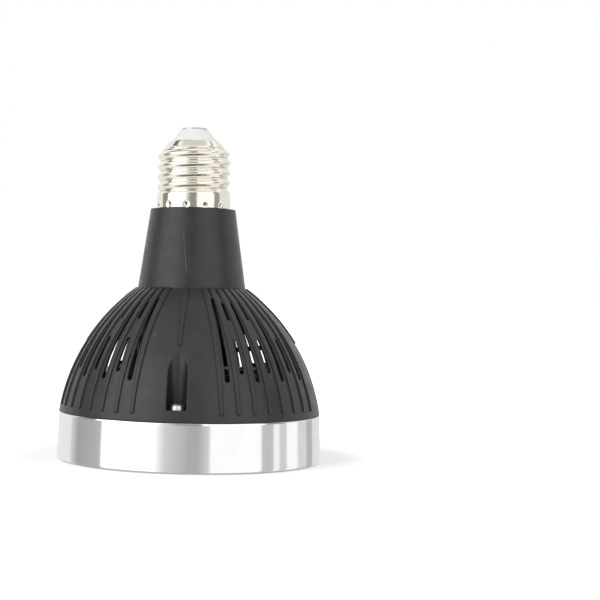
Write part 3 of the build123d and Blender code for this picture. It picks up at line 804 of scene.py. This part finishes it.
@dataclass
class ThreadedShell:
    """Rolled shell of the cap with its band, thread and shoulder.

    Sizes are in millimetres and angles in degrees.
    """

    foot: float = 90.0
    band_top: float = 95.0
    band_radius: float = 13.2
    band_blend: float = 1.6
    band_rows: int = 12
    crest_radius: float = 13.15
    root_radius: float = 12.1
    pitch: float = 3.629
    crest_angle: float = 257.0
    thread_top: float = 112.8
    run_in: float = 2.2
    run_out: float = 2.6
    lead_turns: float = 1.5
    spare_turns: int = 2
    steps: int = 180
    wave_points: int = 12
    shoulder_start: float = 109.0
    shoulder_top: float = 114.4
    shoulder_radius: float = 9.0
    shoulder_flat: float = 1.0
    shoulder_knee: float = 2.4
    shoulder_rows: int = 6
    lip_inset: float = 0.5
    lip_bend: float = 0.6
    lip_rise: float = 0.12
    lip_drop: float = 0.1
    sheet: float = 0.35
    dimples: int = 12
    dimple_height: float = 91.3
    dimple_angle: float = 24.2
    dimple_floor: float = 0.1
    dimple_radius: float = 1.15
    dimple_depth: float = 0.65
    loop_reach: float = 0.01
    work: Workpiece = field(default_factory=Workpiece)

    @property
    def mean_radius(self) -> float:
        """Finds the radius halfway between the thread's crest and root.

        Returns:
            The radius.
        """
        return (self.crest_radius + self.root_radius) / 2

    @property
    def mouth_radius(self) -> float:
        """Finds the radius of the opening at the shell's top.

        Returns:
            The radius.
        """
        return self.shoulder_radius - self.lip_inset

    def build(self) -> None:
        """Rolls the shell and gives its sheet a thickness."""
        self.wind_thread()
        self.trim_thread()
        self.form_thread()
        self.draw_band()
        self.draw_shoulder()
        self.punch_dimples()
        self.work.merge()
        shell = self.work.piece("cap_shell", Look.NICKEL, Slot.NICKEL, "screw_shell")
        wall = shell.modifiers.new("sheet", "SOLIDIFY")
        wall.thickness = self.sheet * MM
        wall.offset = INWARDS

    def shoulder_line(self, height: float) -> float:
        """Finds the shell's mean radius at a height above the band.

        Args:
            height: Height of the place.

        Returns:
            Radius of the shell.
        """
        run = self.shoulder_top - self.shoulder_start - self.shoulder_flat
        slope = (self.mean_radius - self.shoulder_radius) / run
        cone = self.shoulder_radius + slope * (self.shoulder_top - height)
        knee = smoothstep(self.shoulder_start, self.shoulder_start + self.shoulder_knee, height)
        return self.mean_radius + (min(self.mean_radius, cone) - self.mean_radius) * knee

    def wind_thread(self) -> None:
        """Winds the thread's wave upwards, with spare turns at both ends."""
        depth = (self.crest_radius - self.root_radius) / 2
        turns = math.ceil((self.thread_top - self.band_top) / self.pitch) + self.spare_turns
        start = self.band_top - self.lead_turns * self.pitch
        shares = [number / self.wave_points for number in range(self.wave_points + 1)]
        wave = [(self.mean_radius - depth * math.cos(FULL_TURN * share), start + self.pitch * share)
                for share in shares]
        self.work.spin(self.work.line(wave), FULL_TURN * turns, self.steps * turns, self.pitch / self.steps)
        self.work.merge()
        # The wave's crest lies half a turn above its foot
        turn = math.radians(self.crest_angle) + FULL_TURN * (0.5 - self.lead_turns)
        self.work.place(Matrix.Rotation(turn, 4, "Z"))

    def trim_thread(self) -> None:
        """Cuts the spare turns off."""
        for height, up in ((self.band_top, False), (self.thread_top, True)):
            bmesh.ops.bisect_plane(self.work.bm, geom=self.work.everything(), dist=MERGE_MM, plane_no=UP,
                                   plane_co=(0.0, 0.0, height), clear_outer=up, clear_inner=not up)

    def form_thread(self) -> None:
        """Lets the thread run out at both ends and follow the shoulder."""
        for vert in self.work.bm.verts:
            radius, height = vert.co.xy.length, vert.co.z
            fade = smoothstep(self.band_top, self.band_top + self.run_in, height)
            fade *= 1.0 - smoothstep(self.thread_top - self.run_out, self.thread_top, height)
            base = self.shoulder_line(height)
            blend = smoothstep(self.band_top, self.band_top + self.band_blend, height)
            base += (self.band_radius - base) * (1.0 - blend)
            vert.co.xy *= (base + (radius - self.mean_radius) * fade) / radius

    def open_loop(self, height: float) -> Edges:
        """Finds the open edge of the shell at a height.

        Args:
            height: Height of the edge.

        Returns:
            The edges of the loop.
        """
        loose = [edge for edge in self.work.bm.edges if edge.is_boundary]
        return [edge for edge in loose
                if all(abs(vert.co.z - height) < self.loop_reach for vert in edge.verts)]

    def draw_on(self, edges: Edges, radius: float, height: float) -> Edges:
        """Draws an open edge on to a new radius and height.

        Args:
            edges: Open edge.
            radius: New radius.
            height: New height.

        Returns:
            The new open edge.
        """
        made = bmesh.ops.extrude_edge_only(self.work.bm, edges=edges)["geom"]
        for vert in (item for item in made if isinstance(item, bmesh.types.BMVert)):
            vert.co.xy *= radius / vert.co.xy.length
            vert.co.z = height
        return [item for item in made if isinstance(item, bmesh.types.BMEdge)]

    def draw_band(self) -> None:
        """Draws the plain band down from the thread."""
        edge = self.open_loop(self.band_top)
        row = (self.band_top - self.foot) / self.band_rows
        for number in range(1, self.band_rows + 1):
            edge = self.draw_on(edge, self.band_radius, self.band_top - row * number)

    def draw_shoulder(self) -> None:
        """Draws the shoulder up from the thread and turns its lip in."""
        edge = self.open_loop(self.thread_top)
        row = (self.shoulder_top - self.thread_top) / self.shoulder_rows
        for number in range(1, self.shoulder_rows + 1):
            height = self.thread_top + row * number
            edge = self.draw_on(edge, self.shoulder_line(height), height)
        bend = self.shoulder_radius - self.lip_inset * self.lip_bend
        edge = self.draw_on(edge, bend, self.shoulder_top + self.lip_rise)
        self.draw_on(edge, self.mouth_radius, self.shoulder_top - self.lip_drop)

    def punch_dimples(self) -> None:
        """Punches the dimples that hold the shell on the neck."""
        for number in range(self.dimples):
            angle = math.radians(self.dimple_angle) + FULL_TURN * number / self.dimples
            centre = Vector((math.cos(angle), math.sin(angle), 0.0)) * self.band_radius
            centre.z = self.dimple_height
            for vert in self.work.bm.verts:
                away = (vert.co - centre).length
                if away < self.dimple_radius:
                    share = 1.0 - smoothstep(self.dimple_floor, self.dimple_radius, away)
                    vert.co.xy *= 1.0 - self.dimple_depth * share / self.band_radius


@dataclass
class ScrewCap:
    """Screw cap: rolled shell, insulator and centre contact.

    Sizes are in millimetres. The corners of the contact's face are radii and depths below its top.
    """

    shell: ThreadedShell = field(default_factory=ThreadedShell)
    insulator_foot: float = 108.0
    insulator_top: float = 118.8
    insulator_radius: float = 4.8
    insulator_flange: float = 1.6
    insulator_seat: float = 1.2
    insulator_lip: float = 0.05
    insulator_chamfer: float = 0.5
    insulator_round: float = 0.25
    insulator_steps: int = 96
    contact_top: float = 119.5
    contact_radius: float = 4.5
    contact_edge: float = 0.2
    contact_face: tuple[Point2, ...] = ((3.9, 0.1), (2.0, 0.12), (1.2, 0.02))
    contact_steps: int = 64

    def build(self) -> None:
        """Makes all pieces of the cap."""
        self.shell.build()
        self.build_insulator()
        self.build_contact()

    def build_insulator(self) -> None:
        """Turns the pale insulator that closes the cap."""
        work = Workpiece()
        edge, top = self.shell.mouth_radius, self.shell.shoulder_top
        work.lathe([
            (0.0, self.insulator_foot), (edge + self.insulator_flange, self.insulator_foot),
            (edge, top - self.insulator_seat), (edge, top + self.insulator_lip),
            (edge - self.insulator_chamfer, top + self.insulator_chamfer),
            (self.insulator_radius, self.insulator_top), (0.0, self.insulator_top),
        ], self.insulator_steps)
        work.round_edges(lambda at: at.z > top - self.insulator_chamfer, self.insulator_round)
        work.piece("cap_insulator_cone", Look.INSULATOR, Slot.INSULATOR, "base_insulator")

    def build_contact(self) -> None:
        """Turns the contact disc with its solder spot."""
        work = Workpiece()
        face = [(radius, self.contact_top - depth) for radius, depth in self.contact_face]
        work.lathe([
            (0.0, self.insulator_top), (self.contact_radius, self.insulator_top),
            (self.contact_radius, self.contact_top - self.contact_edge), *face, (0.0, self.contact_top),
        ], self.contact_steps)
        work.piece("cap_contact", Look.CONTACT, Slot.NICKEL, "centre_contact")


@dataclass
class PanScrews:
    """The four pan-head screws at the feet of the channels.

    Sizes are in millimetres and the recess's turn is in radians. The crown's corners are shares of the
    head's radius and depths below its top.
    """

    circle_radius: float = 42.4
    seat: float = 21.0
    tip: float = 13.6
    tip_height: float = 0.5
    tip_share: float = 0.7
    head_radius: float = 2.5
    head_height: float = 1.9
    head_wall_share: float = 0.45
    crown: tuple[Point2, Point2] = ((0.86, 0.35), (0.55, 0.06))
    crown_height: float = 0.5
    shank_radius: float = 1.5
    recess_length: float = 2.7
    recess_width: float = 0.62
    recess_depth: float = 1.1
    recess_taper: float = 0.7
    recess_turn: float = 0.5
    steps: int = 40
    count: int = 4
    work: Workpiece = field(default_factory=Workpiece)

    @property
    def top(self) -> float:
        """Finds the height of the heads' tops.

        Returns:
            The height.
        """
        return self.seat + self.head_height

    def build(self) -> None:
        """Makes one screw on the axis, sinks its cross recess and repeats it."""
        crown = [(self.head_radius * share, self.top - drop) for share, drop in self.crown]
        self.work.lathe([
            (0.0, self.tip), (self.shank_radius * self.tip_share, self.tip),
            (self.shank_radius, self.tip + self.tip_height), (self.shank_radius, self.seat),
            (self.head_radius, self.seat),
            (self.head_radius, self.seat + self.head_height * self.head_wall_share),
            *crown, (0.0, self.top),
        ], self.steps)
        self.score_cross()
        self.sink_cross()
        turn = Matrix.Rotation(self.recess_turn, 4, "Z")
        self.work.place(Matrix.Translation((self.circle_radius, 0.0, 0.0)) @ turn)
        self.work.repeat_round(self.count)
        self.work.piece("channel_screws", Look.SCREW, Slot.SCREW, "housing_screws")

    def crown_faces(self) -> list[bmesh.types.BMFace]:
        """Finds the faces of the head's top.

        Returns:
            The faces found.
        """
        foot = self.top - self.crown_height
        return [face for face in self.work.bm.faces if face.calc_center_median().z > foot]

    def in_cross(self, at: Vector) -> bool:
        """Says whether a place on the head lies in the cross.

        Args:
            at: The place, with the screw on the axis.

        Returns:
            Whether it lies in the cross.
        """
        along, across = max(abs(at.x), abs(at.y)), min(abs(at.x), abs(at.y))
        return along < self.recess_length / 2 and across < self.recess_width / 2

    def score_cross(self) -> None:
        """Cuts the cross's outline into the head's top."""
        reaches = (self.recess_length / 2, self.recess_width / 2)
        planes = [(axis, axis * reach * side) for axis in (Vector((1, 0, 0)), Vector((0, 1, 0)))
                  for reach in reaches for side in (1.0, -1.0)]
        for axis, place in planes:
            geometry = set()
            for face in self.crown_faces():
                geometry.update((face, *face.edges, *face.verts))
            bmesh.ops.bisect_plane(self.work.bm, geom=list(geometry), dist=MERGE_MM, plane_co=place,
                                   plane_no=axis)

    def sink_cross(self) -> None:
        """Presses the scored cross into the head."""
        bm = self.work.bm
        cross = [face for face in self.crown_faces() if self.in_cross(face.calc_center_median())]
        made = bmesh.ops.extrude_face_region(bm, geom=cross)["geom"]
        bmesh.ops.delete(bm, geom=cross, context="FACES")
        sunk = [item for item in made if isinstance(item, bmesh.types.BMVert)]
        bmesh.ops.translate(bm, vec=(0.0, 0.0, -self.recess_depth), verts=sunk)
        bmesh.ops.scale(bm, vec=(self.recess_taper, self.recess_taper, 1.0), verts=sunk)


@dataclass
class CadNodes:
    """Nodes of the frame that stay as they are and take a finish."""

    weld_mm: float = 0.0005
    lights: int = 4

    def finishes(self) -> dict[str, Finish]:
        """Says which finish each node takes.

        Returns:
            Finish for each node's name.
        """
        looks = {
            "housing": Look.HOUSING, "heat_sink": Look.SINK, "fan_frame": Look.FAN_FRAME,
            "fan_rotor": Look.FAN, "fan_bearing": Look.BRONZE, "fan_stator": Look.CORE,
            "fan_shaft": Look.SCREW, "fan_screws": Look.SCREW, "holder_screw": Look.SCREW,
            "led_board": Look.MASK_WHITE, "lens_holder": Look.HOLDER, "driver_cup": Look.CUP,
            "driver_board": Look.MASK_GREEN, "transformer": Look.TAPE, "input_capacitor": Look.SLEEVE,
            "output_capacitor": Look.SLEEVE, "line_choke": Look.FERRITE, "rectifier": Look.EPOXY,
            "fuse_resistor": Look.EPOXY, "led_wire_red": Look.LEAD_RED, "live_wire": Look.LEAD_RED,
            "led_wire_black": Look.LEAD_BLACK, "fan_lead": Look.LEAD_BLACK, "neutral_wire": Look.LEAD_WHITE,
        }
        for number in range(1, self.lights + 1):
            looks[f"lens_{number}"] = Look.LENS
            looks[f"led_{number}"] = Look.PHOSPHOR
        return looks

    def dress(self) -> None:
        """Gives every node its finish and smooth shading."""
        for name, finish in self.finishes().items():
            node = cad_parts[name]
            node.data.materials.clear()
            node.data.materials.append(finish.material())
            node.data.polygons.foreach_set("use_smooth", [True] * len(node.data.polygons))
            weld = node.modifiers.new("weld", "WELD")
            weld.merge_threshold = self.weld_mm * MM
            split = node.modifiers.new("edges", "EDGE_SPLIT")
            split.split_angle = SHARP_ANGLE
            log.info("%s dressed", name)


@dataclass(frozen=True)
class Card:
    """A card that only bright surfaces mirror: part of a cone round the bulb.

    Its sides are in degrees from the camera's direction, its edges are radius and height in metres.
    """

    name: str
    level: float
    start: float = -180.0
    end: float = 180.0
    low: Point2 = (1.0, -0.7)
    high: Point2 = (1.0, 0.08)
    last_level: Optional[float] = None

    def level_at(self, share: float) -> float:
        """Finds the card's brightness between its sides.

        Args:
            share: Share of the way from the card's start to its end.

        Returns:
            Brightness there.
        """
        last = self.level if self.last_level is None else self.last_level
        return self.level + (last - self.level) * share

    def mesh(self, front: float, steps: int) -> bpy.types.Mesh:
        """Bends the card and writes its brightness on its vertices.

        Args:
            front: Direction of the camera in radians.
            steps: Number of facets.

        Returns:
            The card's mesh.
        """
        start, sweep = front + math.radians(self.start), math.radians(self.end - self.start)
        work = Workpiece()
        edge = work.line((self.low, self.high))
        work.place(Matrix.Rotation(start, 4, "Z"))
        work.spin(edge, sweep, steps)
        levels = work.bm.verts.layers.float.new("level")
        for vert in work.bm.verts:
            turned = (math.atan2(vert.co.y, vert.co.x) - start + ANGLE_SLACK) % FULL_TURN
            vert[levels] = self.level_at(min(1.0, turned / sweep))
        return work.plain_mesh(self.name)

    def material(self) -> bpy.types.Material:
        """Makes the glow that follows the brightness on the vertices.

        Returns:
            The card's material.
        """
        made = bpy.data.materials.new(self.name)
        made.use_nodes = True
        writer = NodeWriter(made.node_tree)
        writer.nodes.clear()
        glow = writer.nodes.new("ShaderNodeEmission")
        level = writer.nodes.new("ShaderNodeAttribute")
        level.attribute_name = "level"
        output = writer.nodes.new("ShaderNodeOutputMaterial")
        writer.links.new(level.outputs["Fac"], glow.inputs["Strength"])
        writer.links.new(glow.outputs["Emission"], output.inputs["Surface"])
        return made

    def build(self, front: float, steps: int) -> None:
        """Stands the card so that only gloss sees it.

        Args:
            front: Direction of the camera in radians.
            steps: Number of facets.
        """
        thing = add_object(self.name, self.mesh(front, steps))
        thing.data.materials.append(self.material())
        thing.visible_camera = False
        thing.visible_diffuse = False
        thing.visible_shadow = False
        thing.visible_transmission = False


UPPER_LOW = (1.0, 0.08)
UPPER_HIGH = (1.0, 0.9)

CARDS = (
    Card("foot_left_back", 0.89, -180.0, -121.0),
    Card("foot_left_fade", 0.75, -121.0, -109.0, last_level=0.4),
    Card("foot_left_grey", 0.4, -109.0, -79.0, last_level=0.5),
    Card("foot_left_white", 1.3, -79.0, -28.0),
    Card("foot_front_fade", 1.15, -28.0, -20.0, last_level=0.7),
    Card("foot_front_left", 0.7, -20.0, -1.0, last_level=0.48),
    Card("foot_front_dark", 0.46, -1.0, 8.0),
    Card("foot_front_right", 0.47, 8.0, 17.5, last_level=0.72),
    Card("foot_right_white", 1.12, 17.5, 63.5),
    Card("foot_right_grey", 0.59, 63.5, 76.0),
    Card("foot_right_strip", 1.02, 76.0, 82.5),
    Card("foot_right_pale", 0.68, 82.5, 91.0),
    Card("foot_back_white", 1.08, 91.0, 106.0),
    Card("foot_back_grey", 0.74, 106.0, 121.0),
    Card("foot_back_dark", 0.5, 121.0, 133.0),
    Card("foot_back_last", 0.8, 133.0, 180.0),
    Card("high_left_back", 0.95, -180.0, -112.0, UPPER_LOW, UPPER_HIGH),
    Card("high_left_dark", 0.26, -112.0, -86.0, UPPER_LOW, UPPER_HIGH),
    Card("high_left_white", 2.0, -86.0, -26.0, UPPER_LOW, UPPER_HIGH),
    Card("high_front_left", 1.0, -26.0, -10.0, UPPER_LOW, UPPER_HIGH, 0.35),
    Card("high_front_dark", 0.3, -10.0, 11.0, UPPER_LOW, UPPER_HIGH),
    Card("high_right_white", 1.3, 11.0, 68.0, UPPER_LOW, UPPER_HIGH),
    Card("high_right_dark", 0.3, 68.0, 90.0, UPPER_LOW, UPPER_HIGH),
    Card("high_right_back", 0.85, 90.0, 180.0, UPPER_LOW, UPPER_HIGH),
    Card("ceiling", 1.1, low=(1.0, 0.9), high=(0.4, 0.9)),
    Card("zenith", 0.72, low=(0.4, 0.9), high=(0.02, 0.9)),
    Card("ceiling_line", 0.3, low=(0.68, 0.89), high=(0.58, 0.89)),
    Card("ceiling_dark", 0.15, -150.0, -118.0, low=(0.85, 0.88), high=(0.06, 0.88)),
    Card("under", 1.0, low=(0.9, -0.68), high=(0.02, -0.68)),
    Card("foot_line", 0.5, low=(0.085, -0.02), high=(0.03, -0.02)),
)


@dataclass(frozen=True)
class SoftLamp:
    """A square lamp that lights the bulb and isn't mirrored by it. Its sizes are in metres."""

    name: str
    at: tuple[float, float, float]
    size: float
    power: float

    def build(self, aim: Vector) -> None:
        """Hangs the lamp.

        Args:
            aim: Place that it faces.
        """
        data = bpy.data.lights.new(self.name, "AREA")
        data.size = self.size
        data.energy = self.power
        lamp = add_object(self.name, data)
        lamp.visible_glossy = False
        lamp.location = self.at
        lamp.rotation_mode = "QUATERNION"
        lamp.rotation_quaternion = (aim - Vector(self.at)).to_track_quat("-Z", "Y")


LAMPS = (
    SoftLamp("key", (-0.55, -0.7, 0.75), 0.5, 4.5),
    SoftLamp("fill", (0.7, -0.35, 0.6), 0.4, 1.5),
)


@dataclass
class Studio:
    """Floor, light and camera.

    Lengths are in metres, turns in degrees, places in the picture in pixels, the scale in pixels a metre and
    the sensor in millimetres.
    """

    distance: float = 0.54
    height: float = 0.0635
    turn: float = 5.5
    roll: float = 1.12
    scale: float = 2763.0
    picture: float = 600.0
    axis_column: float = 191.8
    foot_row: float = 458.3
    sensor: float = 36.0
    near_clip: float = 0.01
    aim_height: float = 0.06
    card_steps: int = 24
    fill_level: float = 0.55
    floor_size: float = 6.0
    floor_tone: float = 0.9
    floor_roughness: float = 0.9
    white_from: float = 0.05
    white_at: float = 0.11
    shade_glow: float = 0.25

    def build(self) -> None:
        """Sets up everything round the bulb."""
        bpy.context.scene.view_settings.view_transform = "Standard"
        self.build_floor()
        self.build_world()
        for card in CARDS:
            card.build(math.radians(self.turn) - QUARTER_TURN, self.card_steps)
        for lamp in LAMPS:
            lamp.build(Vector((0.0, 0.0, self.aim_height)))
        self.build_camera()
        log.info("studio: %d cards and %d lamps", len(CARDS), len(LAMPS))

    def build_camera(self) -> None:
        """Sets the camera level with the bulb, as in the photograph."""
        data = bpy.data.cameras.new("camera")
        data.sensor_width = self.sensor
        data.lens = self.scale * self.distance * self.sensor / self.picture
        horizon = self.foot_row - self.height * self.scale
        half = self.picture / 2
        data.shift_x = (half - self.axis_column) / self.picture
        data.shift_y = (horizon - half) / self.picture
        data.clip_start = self.near_clip
        camera = add_object("camera", data)
        turn = Matrix.Rotation(math.radians(self.turn), 4, "Z")
        lean = Matrix.Rotation(QUARTER_TURN, 4, "X") @ Matrix.Rotation(math.radians(self.roll), 4, "Z")
        camera.matrix_world = turn @ Matrix.Translation((0.0, -self.distance, self.height)) @ lean
        bpy.context.scene.camera = camera

    def floor_material(self) -> bpy.types.Material:
        """Makes a pale floor that turns white away from the bulb.

        Returns:
            The floor's material.
        """
        graph = NodeGraph("floor_white")
        tone = self.floor_tone
        graph.set({"Base Color": (tone, tone, tone, 1.0), "Roughness": self.floor_roughness,
                   "Specular IOR Level": 0.0, "Emission Color": WHITE})
        away = graph.radius(graph.axes())
        glow = graph.ease(away, self.white_from, self.white_at, self.shade_glow, 1.0)
        rays = graph.nodes.new("ShaderNodeLightPath").outputs
        graph.feed(graph.math("MULTIPLY", rays["Is Camera Ray"], glow), "Emission Strength")
        return graph.material

    def build_floor(self) -> None:
        """Lays a plain pale floor that keeps the bulb's shadow."""
        work = Workpiece()
        bmesh.ops.create_grid(work.bm, x_segments=1, y_segments=1, size=self.floor_size)
        floor = add_object("floor", work.plain_mesh("floor"))
        floor.data.materials.append(self.floor_material())
        floor.visible_glossy = False

    def build_world(self) -> None:
        """Makes a white surround for the camera and for gloss, and an even fill light."""
        world = bpy.data.worlds.new("surround")
        world.use_nodes = True
        bpy.context.scene.world = world
        writer = NodeWriter(world.node_tree)
        back = writer.nodes["Background"]
        back.inputs["Color"].default_value = WHITE
        rays = writer.nodes.new("ShaderNodeLightPath").outputs
        seen = writer.math("MAXIMUM", rays["Is Camera Ray"], rays["Is Glossy Ray"])
        seen = writer.math("MAXIMUM", seen, rays["Is Transmission Ray"])
        writer.links.new(writer.ease(seen, 0.0, 1.0, self.fill_level, 1.0), back.inputs["Strength"])


def main() -> None:
    """Builds the bulb's looks in order."""
    logging.basicConfig(level=logging.INFO, format="%(name)s %(message)s")
    CadNodes().dress()
    FrontRing().build()
    ScrewCap().build()
    PanScrews().build()
    Studio().build()


if __name__ == "__main__":
    main()
